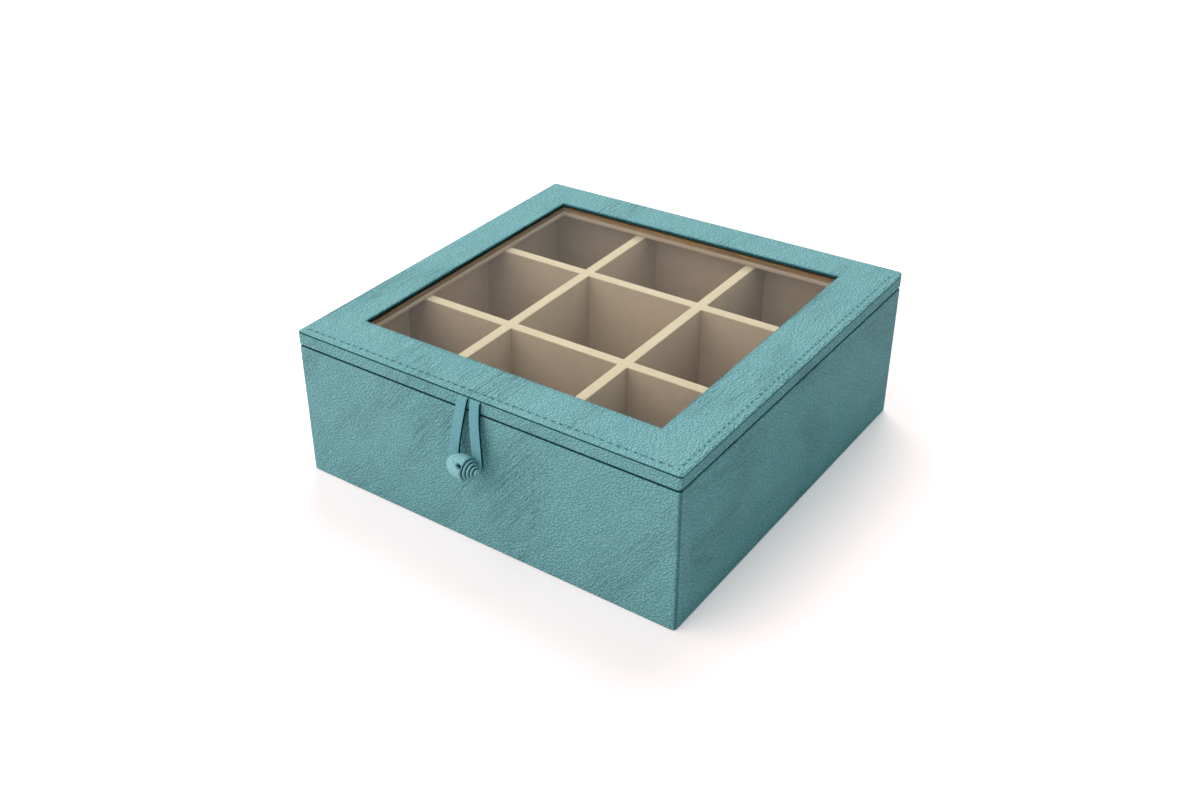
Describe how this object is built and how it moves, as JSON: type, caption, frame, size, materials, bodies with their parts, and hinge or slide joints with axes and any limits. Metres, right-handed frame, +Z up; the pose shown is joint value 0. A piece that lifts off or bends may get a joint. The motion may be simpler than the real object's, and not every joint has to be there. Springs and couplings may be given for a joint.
{
  "type": "tea bag organizer box",
  "caption": "Square leather-covered storage box with a glass-topped hinged lid, crossing dividers and a loop-and-toggle closure.",
  "frame": {"origin": "middle of the underside, on the base sheet's lower face", "axes": "+X to the right along the front, -Y out of the front face with the toggle, +Z up"},
  "size_m": [0.24, 0.2641, 0.0907],
  "materials": {
    "leather": "pebbled teal leather, soft satin",
    "lining_suede": "taupe suede cloth",
    "divider_suede": "taupe suede cloth",
    "edging_suede": "cream suede cloth",
    "board": "medium density fibreboard",
    "rail_wood": "plain waxed wood",
    "card": "grey-brown card",
    "base_felt": "dark felt",
    "glass": "clear float glass",
    "brass": "satin brass"
  },
  "bodies": {
    "box": {"base_sheet": "base_felt", "base_board": "board", "front_board": "board", "back_board": "board", "left_board": "board", "right_board": "board", "body_leather": "leather", "floor_lining": "lining_suede", "front_lining": "lining_suede", "back_lining": "lining_suede", "left_lining": "lining_suede", "right_lining": "lining_suede", "front_divider": "board", "back_divider": "board", "left_divider": "board", "right_divider": "board", "front_divider_cover": "divider_suede", "back_divider_cover": "divider_suede", "left_divider_cover": "divider_suede", "right_divider_cover": "divider_suede", "divider_edging": "edging_suede", "toggle_thong": "leather", "hinge_leaf_body_left": "brass", "hinge_leaf_body_right": "brass", "hinge_pin_left": "brass", "hinge_pin_right": "brass", "hinge_screws_body": "brass"},
    "lid": {"lid_top_leather": "leather", "lid_edge_leather": "leather", "lid_top_card": "card", "glass_pane": "glass", "lid_rail_front": "rail_wood", "lid_rail_back": "rail_wood", "lid_rail_left": "rail_wood", "lid_rail_right": "rail_wood", "lid_lining": "lining_suede", "loop_anchor": "leather", "hinge_leaf_lid_left": "brass", "hinge_leaf_lid_right": "brass", "hinge_screws_lid": "brass"},
    "loop": {"closure_loop": "leather"},
    "toggle": {"toggle_roll": "leather"}
  },
  "joints": [
    {"name": "lid_hinge", "type": "hinge", "parent": "box", "child": "lid", "pos_m": [0, 0.1226, 0.0814], "axis": [-1, 0, 0], "range_deg": [0, 95]},
    {"name": "loop_swing", "type": "hinge", "parent": "lid", "child": "loop", "pos_m": [0, -0.12075, 0.089], "axis": [-1, 0, 0], "range_deg": [0, 150], "deforming": ["closure_loop"]},
    {"name": "toggle_turn", "type": "hinge", "parent": "box", "child": "toggle", "pos_m": [0, -0.1312, 0.0535], "axis": [0, -1, 0], "range_deg": [-90, 90]}
  ]
}
